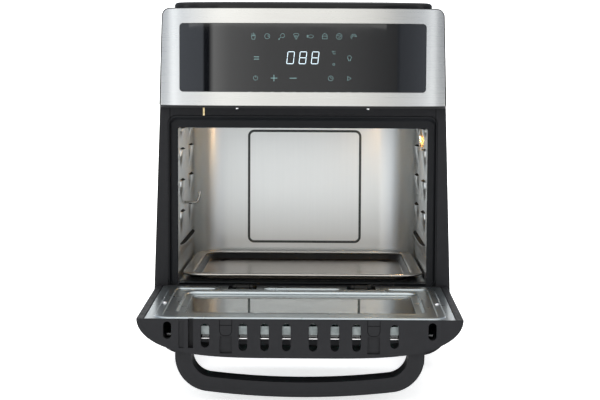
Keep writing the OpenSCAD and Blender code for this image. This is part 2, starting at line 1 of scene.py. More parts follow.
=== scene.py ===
"""Looks for the upright toaster oven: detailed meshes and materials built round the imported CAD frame."""

import json
import math

import bmesh
import bpy
import numpy as np
from mathutils import Matrix, Vector


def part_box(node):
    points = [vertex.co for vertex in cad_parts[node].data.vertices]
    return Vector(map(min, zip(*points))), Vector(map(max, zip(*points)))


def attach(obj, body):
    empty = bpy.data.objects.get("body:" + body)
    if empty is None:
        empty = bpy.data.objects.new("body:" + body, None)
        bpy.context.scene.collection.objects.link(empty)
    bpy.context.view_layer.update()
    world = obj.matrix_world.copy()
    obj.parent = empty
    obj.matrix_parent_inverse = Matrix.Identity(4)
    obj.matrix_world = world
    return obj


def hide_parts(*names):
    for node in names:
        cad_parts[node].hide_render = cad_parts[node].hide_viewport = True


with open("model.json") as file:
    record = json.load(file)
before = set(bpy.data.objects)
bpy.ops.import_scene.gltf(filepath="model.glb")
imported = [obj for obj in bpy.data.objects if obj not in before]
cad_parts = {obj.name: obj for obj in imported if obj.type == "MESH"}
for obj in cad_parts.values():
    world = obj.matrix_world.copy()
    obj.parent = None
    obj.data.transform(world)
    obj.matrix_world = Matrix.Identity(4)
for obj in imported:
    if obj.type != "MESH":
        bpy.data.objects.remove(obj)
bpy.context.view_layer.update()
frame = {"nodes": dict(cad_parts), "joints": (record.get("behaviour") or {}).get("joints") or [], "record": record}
NODES = frame["nodes"]
MM = 0.001

# ---------------------------------------------------------------- places read from the frame

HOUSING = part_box("housing_shell")
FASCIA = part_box("control_fascia")
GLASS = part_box("control_glass")
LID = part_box("top_cover")
FRAME_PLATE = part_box("front_frame")
WALL_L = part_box("cavity_left")
WALL_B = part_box("cavity_back")
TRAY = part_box("baking_tray")
FRONT_Y = HOUSING[0].y
HINGE = next(j for j in frame["joints"] if j["name"] == "door_hinge")


def joint_point(name):
    """The point in the row frame that a hinge turns about."""
    return Vector(next(j for j in frame["joints"] if j["name"] == name)["pos_m"])


def local_box(node, matrix):
    """A node's box in the coordinates of the given matrix."""
    inverse = matrix.inverted()
    points = np.array([inverse @ v.co for v in NODES[node].data.vertices])
    return Vector(points.min(0)), Vector(points.max(0))


# A door piece is drawn shut: X across, Y = 0 on the inner plane, Z up from the hinge edge.
OPEN_TURN = math.radians(HINGE["range_deg"][1])
SWING = Matrix.Translation(joint_point("door_hinge")) @ Matrix.Rotation(OPEN_TURN, 4, "X")
SHUT_SHELL = local_box("door_shell", SWING)
DOOR = SWING @ Matrix.Translation((0, SHUT_SHELL[1].y, SHUT_SHELL[0].z))
DOOR_SHELL = local_box("door_shell", DOOR)
DOOR_PANEL = local_box("door_panel", DOOR)
DOOR_L = DOOR_SHELL[1].z

# ---------------------------------------------------------------- materials


class Shader:
    """A Principled material, with short calls for the textures that feed it."""

    def __init__(self, name, color, rough, metal=0.0, **sockets):
        self.material = bpy.data.materials.new(name)
        self.material.use_nodes = True
        self.tree = self.material.node_tree
        self.bsdf = self.tree.nodes["Principled BSDF"]
        self.put("Base Color", (*color, 1.0))
        self.put("Roughness", rough)
        self.put("Metallic", metal)
        for key, value in sockets.items():
            self.put(key.replace("_", " "), value)

    def put(self, socket, value):
        target = self.bsdf.inputs[socket]
        if isinstance(value, bpy.types.NodeSocket):
            self.tree.links.new(value, target)
        else:
            target.default_value = value

    def node(self, kind, inputs=None, **settings):
        made = self.tree.nodes.new("ShaderNode" + kind)
        for key, value in settings.items():
            setattr(made, key, value)
        for key, value in (inputs or {}).items():
            if isinstance(value, bpy.types.NodeSocket):
                self.tree.links.new(value, made.inputs[key])
            else:
                made.inputs[key].default_value = value
        return made

    def place(self, stretch=(1, 1, 1)):
        coords = self.node("TexCoord")
        return self.node("Mapping", {"Vector": coords.outputs["Object"], "Scale": stretch}).outputs[0]

    def noise(self, scale, stretch=(1, 1, 1), detail=3.0, rough=0.55):
        inputs = {"Vector": self.place(stretch), "Scale": scale, "Detail": detail, "Roughness": rough}
        return self.node("TexNoise", inputs).outputs["Fac"]

    def cells(self, scale, stretch=(1, 1, 1)):
        return self.node("TexVoronoi", {"Vector": self.place(stretch), "Scale": scale}).outputs["Color"]

    def remap(self, value, low, high, from_low=0.0, from_high=1.0):
        inputs = {"Value": value, "From Min": from_low, "From Max": from_high, "To Min": low, "To Max": high}
        return self.node("MapRange", inputs).outputs["Result"]

    def blend(self, factor, first, second):
        inputs = {"Factor": factor, "A": (*first, 1.0), "B": (*second, 1.0)}
        made = self.tree.nodes.new("ShaderNodeMix")
        made.data_type = "RGBA"
        self.tree.links.new(inputs["Factor"], made.inputs["Factor"])
        made.inputs[6].default_value = inputs["A"]
        made.inputs[7].default_value = inputs["B"]
        return made.outputs[2]

    def bump(self, height, strength, distance):
        inputs = {"Height": height, "Strength": strength, "Distance": distance}
        self.put("Normal", self.node("Bump", inputs).outputs["Normal"])


def moulded_plastic(name, dark, light, rough, grain=1400.0, strength=0.12, sheen=0.3):
    """Moulded plastic with a fine spark-eroded grain and slightly uneven sheen."""
    s = Shader(name, dark, rough, IOR=1.48, Specular_IOR_Level=sheen)
    s.put("Base Color", s.blend(s.noise(9.0), dark, light))
    s.put("Roughness", s.remap(s.noise(160.0, detail=4.0), rough - 0.06, rough + 0.08, 0.3, 0.7))
    s.bump(s.noise(grain, detail=2.0), strength, 0.00025)
    return s.material


def polished(name, dark, light, rough, coat=0.6, ior=1.5):
    """Polished black plastic or back-printed glass, with faint handling marks."""
    s = Shader(name, dark, rough, Coat_Weight=coat, Coat_Roughness=0.03, IOR=ior)
    s.put("Base Color", s.blend(s.noise(14.0), dark, light))
    s.put("Roughness", s.remap(s.noise(30.0, detail=6.0), rough, rough + 0.04, 0.35, 0.75))
    return s.material


def brushed(name, dark, light, rough, stretch, vary=0.05, strength=0.05, anisotropic=0.0):
    """Sheet metal brushed along one axis: stretched noise in its colour, roughness and height."""
    s = Shader(name, light, rough, metal=1.0)
    s.put("Anisotropic", anisotropic)
    if anisotropic:
        s.put("Tangent", s.node("Tangent", direction_type="RADIAL", axis="Z").outputs[0])
    grain = s.noise(1.0, stretch, detail=5.0, rough=0.7)
    s.put("Base Color", s.blend(s.remap(grain, 0, 1, 0.3, 0.7), dark, light))
    s.put("Roughness", s.remap(grain, rough - vary, rough + vary, 0.3, 0.7))
    s.bump(grain, strength, 0.0002)
    return s.material


def sheet_metal(name, dark, light, rough, spangle=90.0, strength=0.04):
    """Rolled or galvanised sheet: large soft spangles over a fine rolled grain."""
    s = Shader(name, light, rough, metal=1.0)
    spots = s.node("SeparateColor", {"Color": s.cells(spangle)}).outputs[0]
    grain = s.noise(420.0, (1.0, 0.25, 1.0), detail=4.0)
    s.put("Base Color", s.blend(s.remap(spots, 0, 1), dark, light))
    s.put("Roughness", s.remap(grain, rough - 0.07, rough + 0.09, 0.3, 0.7))
    s.bump(grain, strength, 0.00015)
    return s.material


def clear_glass(name, tint, rough=0.02, weight=1.0):
    s = Shader(name, tint, rough, IOR=1.62)
    s.put("Transmission Weight", weight)
    s.put("Roughness", s.remap(s.noise(40.0, detail=5.0), rough, rough + 0.05, 0.4, 0.8))
    return s.material


def soft_rubber(name, dark, light):
    s = Shader(name, dark, 0.75)
    s.put("Base Color", s.blend(s.noise(60.0), dark, light))
    s.bump(s.noise(900.0), 0.2, 0.0002)
    return s.material


def glazed(name, dark, light, rough):
    s = Shader(name, light, rough)
    s.put("Base Color", s.blend(s.noise(120.0, detail=5.0), dark, light))
    s.bump(s.noise(700.0), 0.1, 0.0002)
    return s.material


def glowing(name, color, strength, rough=0.4):
    """A lit legend or lamp: its own light with a slight unevenness."""
    s = Shader(name, color, rough)
    s.put("Emission Color", s.blend(s.noise(200.0), tuple(0.85 * c for c in color), color))
    s.put("Emission Strength", strength)
    return s.material


SLOT = {
    "housing_plastic": moulded_plastic(
        "housing_plastic", (0.0085, 0.0088, 0.0105), (0.0115, 0.0118, 0.0138), 0.5, 1400.0, 0.12, 0.22),
    "gloss_black": polished("gloss_black", (0.006, 0.006, 0.007), (0.010, 0.010, 0.011), 0.14, 0.0, 1.33),
    "frame_paint": moulded_plastic(
        "frame_paint", (0.0065, 0.0072, 0.0085), (0.0095, 0.0103, 0.012), 0.4, 2200.0, 0.06, 0.16),
    "steel_brushed": brushed(
        "steel_brushed", (0.675, 0.67, 0.645), (0.69, 0.685, 0.66), 0.28, (3, 3, 2200), 0.012, 0.002, 0.5),
    "liner_steel": brushed(
        "liner_steel", (0.67, 0.69, 0.69), (0.69, 0.71, 0.71), 0.34, (260, 260, 6), 0.01, 0.002),
    "door_sheet": brushed(
        "door_sheet", (0.50, 0.55, 0.57), (0.52, 0.57, 0.59), 0.28, (60, 60, 60), 0.01, 0.002),
    "hinge_black": moulded_plastic("hinge_black", (0.006, 0.006, 0.006), (0.010, 0.010, 0.010), 0.5),
    "tray_steel": brushed(
        "tray_steel", (0.43, 0.41, 0.385), (0.50, 0.48, 0.45), 0.24, (12, 300, 300), 0.03, 0.01),
    "spring_steel": sheet_metal("spring_steel", (0.66, 0.66, 0.67), (0.76, 0.76, 0.77), 0.16, 300.0, 0.02),
    "zinc_steel": sheet_metal("zinc_steel", (0.42, 0.43, 0.45), (0.55, 0.56, 0.58), 0.34, 120.0, 0.05),
    "black_glass": polished("black_glass", (0.003, 0.0033, 0.0042), (0.0045, 0.005, 0.0065), 0.02, 0.0, 1.75),
    "clear_glass": clear_glass("clear_glass", (0.90, 0.96, 0.95)),
    "tint_glass": clear_glass("tint_glass", (0.05, 0.16, 0.14)),
    "lamp_glass": clear_glass("lamp_glass", (1.0, 0.82, 0.55), 0.25),
    "lamp_filament": glowing("lamp_filament", (1.0, 0.55, 0.18), 9.0),
    "black_plastic": moulded_plastic("black_plastic", (0.005, 0.005, 0.0055), (0.009, 0.009, 0.0095), 0.45),
    "rubber_black": soft_rubber("rubber_black", (0.006, 0.006, 0.006), (0.014, 0.014, 0.014)),
    "board_green": glazed("board_green", (0.012, 0.075, 0.03), (0.02, 0.13, 0.05), 0.35),
    "ceramic_white": glazed("ceramic_white", (0.70, 0.68, 0.62), (0.80, 0.78, 0.73), 0.6),
    "element_sheath": brushed(
        "element_sheath", (0.09, 0.08, 0.075), (0.17, 0.15, 0.14), 0.45, (300, 300, 300)),
    "fan_aluminium": brushed("fan_aluminium", (0.55, 0.55, 0.56), (0.68, 0.68, 0.69), 0.33, (60, 60, 60)),
    "motor_steel": brushed("motor_steel", (0.16, 0.15, 0.14), (0.28, 0.26, 0.25), 0.5, (20, 20, 1500)),
    "bronze": sheet_metal("bronze", (0.50, 0.36, 0.19), (0.62, 0.46, 0.26), 0.4, 900.0, 0.1),
    "contact_brass": sheet_metal("contact_brass", (0.66, 0.52, 0.28), (0.80, 0.66, 0.40), 0.2, 500.0),
}
# Painted shade: a dark material for the shade inside each louvre's open top.
LOUVRE_SHADE = moulded_plastic("louvre_painted_shade", (0.008, 0.009, 0.009), (0.016, 0.017, 0.017), 0.7)
GROOVE = brushed("groove_shadow", (0.045, 0.05, 0.05), (0.08, 0.085, 0.085), 0.4, (300, 300, 300), 0.05, 0.02)
TRAY_INSIDE = brushed(
    "tray_inside", (0.15, 0.112, 0.082), (0.20, 0.152, 0.112), 0.24, (9, 260, 260), 0.03, 0.01)
# Painted light: the steel of tray_inside, made lighter and warmer for the tray's inner walls, for the light that
# falls on them.
TRAY_WALL_LIT = brushed("tray_wall_painted_light", (0.36, 0.325, 0.29), (0.42, 0.385, 0.345), 0.24, (9, 260, 260), 0.03, 0.01)
TRAY_OUTSIDE = moulded_plastic("tray_outside", (0.016, 0.018, 0.021), (0.028, 0.030, 0.034), 0.34, 900.0, 0.1)
HOOK_WIRE = sheet_metal("hook_wire", (0.26, 0.25, 0.23), (0.36, 0.345, 0.32), 0.22, 300.0, 0.02)
SHADOW_LINE = moulded_plastic(
    "shadow_line", (0.0012, 0.0012, 0.0014), (0.002, 0.002, 0.0022), 0.8, 900.0, 0.05, 0.0)
CLAMP = sheet_metal("clamp_strip", (0.20, 0.225, 0.225), (0.25, 0.275, 0.275), 0.42, 200.0, 0.03)
LEGEND = glowing("legend_print", (0.18, 0.32, 0.32), 0.17)
DIGIT = glowing("digit_white", (0.62, 0.76, 0.84), 0.8)
NODE_SLOT = {part["node"]: part["material_slot"] for part in frame["record"]["subparts"]}

# ---------------------------------------------------------------- mesh helpers


def rise(low, high, x):
    """Smoothly from 0 at low to 1 at high."""
    t = np.clip((np.asarray(x, float) - low) / (high - low), 0.0, 1.0)
    return t * t * (3 - 2 * t)


def add_piece(name, points, faces, material, body, matrix=None, replaces=(), smooth=40.0, marks=None):
    """Makes a mesh object from points and faces, shades it smooth up to an angle and hangs it on its body."""
    mesh = bpy.data.meshes.new(name)
    mesh.from_pydata([tuple(p) for p in points], [], faces)
    mesh.validate()
    obj = bpy.data.objects.new(name, mesh)
    bpy.context.scene.collection.objects.link(obj)
    for each in material if isinstance(material, (list, tuple)) else [material]:
        mesh.materials.append(each)
    if marks is not None:
        mesh.polygons.foreach_set("material_index", np.asarray(marks, np.int32))
    if matrix is not None:
        mesh.transform(matrix)
    bm = bmesh.new()
    bm.from_mesh(mesh)
    bmesh.ops.remove_doubles(bm, verts=bm.verts, dist=1e-6)
    bmesh.ops.recalc_face_normals(bm, faces=bm.faces)
    bm.to_mesh(mesh)
    bm.free()
    mesh.shade_smooth()
    mesh.set_sharp_from_angle(angle=math.radians(smooth))
    add_modifier(obj, "WEIGHTED_NORMAL", "normals", keep_sharp=True, weight=60)
    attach(obj, body)
    if replaces:
        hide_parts(*replaces)
    return obj


def add_modifier(obj, kind, name, **settings):
    made = obj.modifiers.new(name, kind)
    for key, value in settings.items():
        setattr(made, key, value)
    return made


def band_marks(rings, marks):
    """A material number for each face of a loft, from one number per pair of rings."""
    return [mark for mark in marks for _ in range(len(rings[0]))]


def loft(rings, closed=True, cap_first=False, cap_last=False):
    """Points and faces that join rings of equal length, in order."""
    count = len(rings[0])
    points = [p for ring in rings for p in ring]
    faces = []
    for r in range(len(rings) - 1):
        for i in range(count if closed else count - 1):
            j = (i + 1) % count
            faces.append((r * count + i, r * count + j, (r + 1) * count + j, (r + 1) * count + i))
    if cap_first:
        faces.append(tuple(reversed(range(count))))
    if cap_last:
        last = (len(rings) - 1) * count
        faces.append(tuple(range(last, last + count)))
    return points, faces


def round_outline(half, lo, hi, r, us, vs, arc=10):
    """A round-cornered rectangle as (u, v) points: |u| <= half, lo <= v <= hi, us and vs on its sides."""
    turn = [math.radians(90 * (k + 0.5) / arc) for k in range(arc)]
    ends = [0.0] + turn + [math.pi / 2]

    def corner(cu, cv, start):
        return [(cu + r * math.cos(start + t), cv + r * math.sin(start + t)) for t in ends]

    out = [(u, lo) for u in us]
    out += corner(half - r, lo + r, -math.pi / 2)
    out += [(half, v) for v in vs]
    out += corner(half - r, hi - r, 0)
    out += [(u, hi) for u in reversed(us)]
    out += corner(-half + r, hi - r, math.pi / 2)
    out += [(-half, v) for v in reversed(vs)]
    out += corner(-half + r, lo + r, math.pi)
    return out


def spread(low, high, step):
    count = max(2, int(round((high - low) / step)) + 1)
    return list(np.linspace(low, high, count))


def bulge(x, half, deep):
    """How far forward the shared plan of the door and fascia stands at x."""
    return deep * np.sqrt(np.clip(1 - (np.abs(x) / half) ** 4, 0, 1))


def tube_along(path, radius, sides=16):
    """Points and faces of a round wire that follows a path, with closed ends."""
    path = [Vector(p) for p in path]
    rings = []
    normal = None
    for i, point in enumerate(path):
        along = (path[min(i + 1, len(path) - 1)] - path[max(i - 1, 0)]).normalized()
        if normal is None:
            normal = along.orthogonal().normalized()
        normal = (normal - along * normal.dot(along)).normalized()
        across = along.cross(normal)
        rings.append([point + radius * (math.cos(a) * normal + math.sin(a) * across)
                      for a in np.linspace(0, 2 * math.pi, sides, endpoint=False)])
    return loft(rings, cap_first=True, cap_last=True)


def arc_points(centre, a, b, angle0, angle1, count=10):
    """Points on an arc in the plane of the vectors a and b."""
    return [Vector(centre) + Vector(a) * math.cos(t) + Vector(b) * math.sin(t)
            for t in np.linspace(math.radians(angle0), math.radians(angle1), count)]


# ---------------------------------------------------------------- carried-over CAD nodes

EDGE = {
    "housing_shell": 1.1, "control_fascia": 0.5, "control_glass": 0.35, "door_shell": 0.7, "door_handle": 3.2,
    "rear_spacer": 1.0, "feet": 0.8, "fascia_carrier": 0.3,
    "hinge_brackets": 0.25, "hinge_arms": 0.25, "door_inner_glass": 0.5, "door_outer_glass": 0.5,
    "catch_plunger_left": 0.15, "catch_plunger_right": 0.15, "switch_lever": 0.2, "lamp_lens": 0.4,
    "cord_gland": 0.4, "terminal_block": 0.5, "power_board": 0.3, "control_board": 0.2, "motor_stator": 0.6,
    "motor_bracket": 0.3, "housing_screws": 0.3, "handle_screws": 0.3, "display_module": 0.3,
}


def floor_sheet():
    """The cavity's floor: liner steel, with painted shade over its front margin."""
    s = Shader("cavity_floor_sheet", (0.6, 0.61, 0.61), 0.36)
    along = s.node("SeparateXYZ", {"Vector": s.place()}).outputs["Y"]
    # Painted shade: from the front to just behind the tray's front edge, the floor is dark and not metallic, for
    # the shade that falls there.
    edge = TRAY[0].y + 14 * MM
    clear_of_painted_shade = s.remap(along, 0.0, 1.0, edge - 0.5 * MM, edge)
    mottle = s.blend(s.noise(90.0), (0.58, 0.59, 0.59), (0.63, 0.64, 0.64))
    made = s.tree.nodes.new("ShaderNodeMix")
    made.data_type = "RGBA"
    s.tree.links.new(clear_of_painted_shade, made.inputs["Factor"])
    # the colour of the painted shade on the front margin
    made.inputs[6].default_value = (0.020, 0.023, 0.026, 1.0)
    s.tree.links.new(mottle, made.inputs[7])
    s.put("Base Color", made.outputs[2])
    s.put("Metallic", clear_of_painted_shade)
    s.put("Specular IOR Level", 0.3)
    return s.material


def dress_cad_nodes():
    """Gives every CAD node its slot's material and eases its edges with modifiers."""
    for name, obj in NODES.items():
        obj.data.materials.clear()
        obj.data.materials.append(floor_sheet() if name == "cavity_floor" else SLOT[NODE_SLOT[name]])
        obj.data.shade_smooth()
        add_modifier(obj, "WELD", "weld", merge_threshold=1e-6)
        if name in ("back_panel", "base_plate"):
            # Slotted plates keep their own faces: dissolving and easing them twists the plate.
            add_modifier(obj, "WEIGHTED_NORMAL", "normals", keep_sharp=True, weight=60)
            obj.data.set_sharp_from_angle(angle=math.radians(30))
            continue
        add_modifier(obj, "DECIMATE", "flatten", decimate_type="DISSOLVE", angle_limit=math.radians(0.6))
        width = EDGE.get(name)
        if width:
            add_modifier(obj, "BEVEL", "ease", width=width * MM, segments=3, limit_method="ANGLE",
                         angle_limit=math.radians(32), harden_normals=True, miter_outer="MITER_ARC")
        add_modifier(obj, "WEIGHTED_NORMAL", "normals", keep_sharp=True, weight=60)


# ---------------------------------------------------------------- body pieces


def make_lid():
    """The glossy top cover, with a rounded rim that follows the fascia's plan in front."""
    half, deep = LID[1].x, FRONT_Y - LID[0].y
    z0, z1, back = LID[0].z, LID[1].z, LID[1].y
    radius = 4.5 * MM

    def ring(inset, z):
        a, d, b = half - inset, deep - inset, back - inset
        turns = np.linspace(-math.pi / 2, math.pi / 2, 61)
        xs = [a * math.copysign(math.sqrt(abs(math.sin(t))), t) for t in turns]
        front = [(x, FRONT_Y - float(bulge(x, a, d)), z) for x in xs]
        r = 16 * MM
        side = [(a, y, z) for y in spread(FRONT_Y + 6 * MM, b - r, 30 * MM)]
        corner = np.linspace(0, math.pi / 2, 12)
        right = [(a - r + r * math.cos(t), b - r + r * math.sin(t), z) for t in corner]
        left = [(-x, y, z) for x, y, z in reversed(right)]
        return front + side + right + left + [(-x, y, z) for x, y, z in reversed(side)]

    rings = [ring(0, z0)]
    for t in np.linspace(0, math.pi / 2, 8):
        rings.append(ring(radius * (1 - math.cos(t)), z1 - radius + radius * math.sin(t)))
    rings.append(ring(9 * MM, z1))
    rings.append(ring(11 * MM, z1 - 0.8 * MM))
    points, faces = loft(rings, cap_first=True, cap_last=True)
    add_piece("top_cover_rounded", points, faces, SLOT["gloss_black"], "body",
              replaces=["top_cover"], smooth=35)


def make_front_frame():
    """The painted steel frame: it slopes back to a flat margin, which rolls into the cavity."""
    x1 = FRAME_PLATE[1].x
    y0, y1 = FRAME_PLATE[0].y, FRAME_PLATE[1].y
    low, high = FRAME_PLATE[0].z, FRAME_PLATE[1].z
    half, z0, z1 = 136.2 * MM, 91 * MM, 263 * MM
    us = spread(-120 * MM, 120 * MM, 8 * MM)
    vs = spread(110 * MM, 240 * MM, 10 * MM)

    def ring(side, top, y, r, sill=0.0):
        outline = round_outline(half + side * MM, z0 - sill * MM, z1 + top * MM, r * MM, us, vs)
        return [(u, y, v) for u, v in outline]

    def plate(y):
        return [(u, y, v) for u, v in round_outline(x1, low, high, 2 * MM, us, vs)]

    back = y0 + 1.6 * MM
    rings = [plate(y1), plate(y0 + 0.1 * MM), ring(10.7, 13.8, y0 + 0.1 * MM, 9.5, 1.2)]
    rings += [ring(10.6, 13.7, FRONT_Y + 0.5 * MM, 9.4, 1.2), ring(9.9, 13.0, FRONT_Y + 0.25 * MM, 9, 1.1)]
    for t in np.linspace(0, 1, 6):
        y = FRONT_Y + 0.35 * MM + (back - FRONT_Y - 0.5 * MM) * float(rise(0, 1, t))
        rings.append(ring(9.2 - 2.6 * t, 12.3 - 4.6 * t, y, 8.4 - 2.6 * t, 1.0))
    rings.append(ring(6.2, 7.3, back, 5.6, 0.9))
    rings.append(ring(1.8, 1.8, back, 2.6, 0.8))
    roll = 1.4
    for t in np.linspace(0, math.pi / 2, 6):
        out = roll * (1 - math.sin(t))
        rings.append(ring(out, out, back + roll * MM * (1 - math.cos(t)), 2.2, 0.6))
    rings += [ring(0.1, 0.1, y1 - 0.1 * MM, 2.1), ring(2.5, 2.5, y1, 3, 0.8), plate(y1)]
    points, faces = loft(rings)
    add_piece("front_frame_pressed", points, faces, SLOT["frame_paint"], "body",
              replaces=["front_frame"], smooth=50)


def make_fascia_rim():
    """The thin black edge that frames the steel fascia along its sides and top."""
    steel = np.array([v.co for v in NODES["control_fascia"].data.vertices])
    low_z, high_z = FASCIA[0].z, FASCIA[1].z
    low_half = np.abs(steel[steel[:, 2] < low_z + 2 * MM, 0]).max()
    high_half = np.abs(steel[steel[:, 2] > high_z - 9 * MM, 0]).max()
    deep, half, r, thick = FRONT_Y - FASCIA[0].y, low_half + 2.8 * MM, 7.8 * MM, 1.0 * MM
    narrowing, height = high_half - low_half, high_z - r - low_z
    right = [(low_half + narrowing * t, low_z + height * t) for t in np.linspace(0, 1, 12)]
    corner = np.linspace(0.1, math.pi / 2, 10)
    right += [(high_half - r + r * math.cos(a), high_z - r + r * math.sin(a)) for a in corner]
    top = [(x, high_z) for x in reversed(spread(0, high_half - r - 4 * MM, 6 * MM))]
    path = right + top + [(-x, z) for x, z in reversed(right + top[:-1])]
    rings = []
    for i, (x, z) in enumerate(path):
        (xa, za), (xb, zb) = path[max(i - 1, 0)], path[min(i + 1, len(path) - 1)]
        length = math.hypot(xb - xa, zb - za)
        nx, nz = (zb - za) / length, -(xb - xa) / length
        front = FRONT_Y - float(bulge(x, half, deep)) - 0.1 * MM
        inner, outer = (x, z), (x + nx * thick, z + nz * thick)
        rings.append([(inner[0], FRONT_Y, inner[1]), (inner[0], front, inner[1]),
                      (outer[0], front + 0.3 * MM, outer[1]), (outer[0], FRONT_Y, outer[1])])
    points, faces = loft(rings, cap_first=True, cap_last=True)
    add_piece("fascia_rim", points, faces, SLOT["black_plastic"], "body", smooth=40)


def make_front_seams():
    """The fine dark joints between the housing's sides and the frame, down both sides of the front."""
    x, top, low = 144.6 * MM, FASCIA[0].z - 3 * MM, 66 * MM
    for side in (-1, 1):
        path = [(side * x, FRONT_Y + 0.1 * MM, z) for z in spread(low, top, 24 * MM)]
        points, faces = tube_along(path, 0.3 * MM, 8)
        add_piece("front_seam_" + ("left" if side < 0 else "right"), points, faces, SHADOW_LINE, "body",
                  smooth=60)


def make_cavity_liner():
    """One sheet wrapped round the sides and back, with the louvres, runners and the pressed square."""
    half = WALL_B[1].x
    y0, y1 = WALL_L[0].y, WALL_B[0].y + 1.2 * MM
    z0, z1 = WALL_L[0].z, WALL_L[1].z
    corner = 44 * MM
    straight, arc_len, back = y1 - corner - y0, corner * math.pi / 2, 2 * (half - corner)
    total = 2 * straight + 2 * arc_len + back
    s = np.linspace(0, total, 660)
    z = np.linspace(z0, z1, 152)

    def plan(at):
        """Place and inward normal of the wrap, a distance along it from the left front edge."""
        if at < straight:
            return (-half, y0 + at), (1, 0)
        at -= straight
        if at < arc_len:
            cos, sin = math.cos(at / corner), math.sin(at / corner)
            return (-half + corner * (1 - cos), y1 - corner + corner * sin), (cos, -sin)
        at -= arc_len
        if at < back:
            return (-half + corner + at, y1), (0, -1)
        at -= back
        if at < arc_len:
            cos, sin = math.cos(at / corner), math.sin(at / corner)
            return (half - corner + corner * sin, y1 - corner + corner * cos), (-sin, -cos)
        at -= arc_len
        return (half, y1 - corner - at), (-1, 0)

    base = [plan(v) for v in s]
    px = np.array([b[0] for b in base])
    nx = np.array([b[1] for b in base])
    height = np.zeros((len(s), len(z)))
    dark = np.zeros_like(height, bool)
    on_side = (s < straight) | (s > total - straight)
    depth_in = px[:, 1] - FRONT_Y

    def louvre(start, long, top, tall, proud, taper):
        """A domed scoop: flat across its open top, rounded down to the wall at its sides and foot."""
        u = ((depth_in - start - long / 2) / (long / 2))[:, None]
        v = ((top - z) / tall)[None, :]
        inside = (v >= 0) & (v <= 1) & on_side[:, None]
        narrow = 1 - taper * rise(0.15, 1.0, v)
        dome = np.sqrt(np.clip(1 - (u / narrow) ** 4, 0, 1)) * (1 - rise(0.1, 1.0, v))
        return np.where(inside, proud * dome, 0), inside

    marks = [(34, 36, t, 30, 3.6, 0.45) for t in (238, 203, 168)]
    marks += [(146, 42, t, 27, 3.6, 0.45) for t in (238, 203, 168)]
    marks += [(34, 36, 262, 17, 3.4, 0.5), (146, 34, 262, 15, 3.4, 0.5), (30, 178, 132, 14, 4.6, 0.02)]
    for start, long, top, tall, proud, taper in marks:
        bumps, inside = louvre(start * MM, long * MM, top * MM, tall * MM, proud * MM, taper)
        height = np.maximum(height, bumps)
        # Painted shade: the faces along each louvre's open top get the dark material.
        row = int(np.searchsorted(z, top * MM)) - 1
        dark[:, row] |= (bumps[:, row] > 0.4 * MM) & on_side
    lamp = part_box("lamp_lens")
    ly, lz, lr = (lamp[0].y + lamp[1].y) / 2, (lamp[0].z + lamp[1].z) / 2, (lamp[1].z - lamp[0].z) / 2
    near_lamp = (px[:, 0] > 0)[:, None] & (np.hypot(px[:, 1][:, None] - ly, z[None, :] - lz) < lr + 2 * MM)
    height = np.where(near_lamp, np.minimum(height, 0.4 * MM), height)
    hole = (px[:, 0] > 0)[:, None] & (np.hypot(px[:, 1][:, None] - ly, z[None, :] - lz) < lr - 0.5 * MM)
    xs = px[:, 0][:, None] + nx[:, 0][:, None] * height
    ys = px[:, 1][:, None] + nx[:, 1][:, None] * height
    zs = np.broadcast_to(z[None, :], xs.shape)
    points = np.stack([xs, ys, zs], -1).reshape(-1, 3)
    faces, which = [], []
    rows = len(z)
    for i in range(len(s) - 1):
        for j in range(rows - 1):
            if hole[i, j] and hole[i + 1, j + 1]:
                continue
            faces.append((i * rows + j, (i + 1) * rows + j, (i + 1) * rows + j + 1, i * rows + j + 1))
            which.append(1 if dark[i, j] and dark[i + 1, j] else 0)
    add_piece("cavity_liner", points, faces, [SLOT["liner_steel"], LOUVRE_SHADE], "body",
              replaces=["cavity_left", "cavity_back", "cavity_right"], smooth=38, marks=which)
    make_pressed_square(y1)


def make_pressed_square(wall):
    """The groove pressed round a square in the middle of the back wall."""
    middle = 182 * MM
    us = spread(-60 * MM, 60 * MM, 12 * MM)
    vs = spread(middle - 60 * MM, middle + 60 * MM, 12 * MM)
    rings = []
    for off, y in ((1.5, 0.0), (1.0, 0.12), (0.5, 0.2), (0.0, 0.22), (-0.5, 0.2), (-1.0, 0.12), (-1.5, 0.0)):
        half = (69.6 + off) * MM
        outline = round_outline(half, middle - half, middle + half, (6.5 + off) * MM, us, vs, 12)
        rings.append([(u, wall - y * MM, v) for u, v in outline])
    points, faces = loft(rings)
    add_piece("back_wall_groove", points, faces, GROOVE, "body", smooth=60)


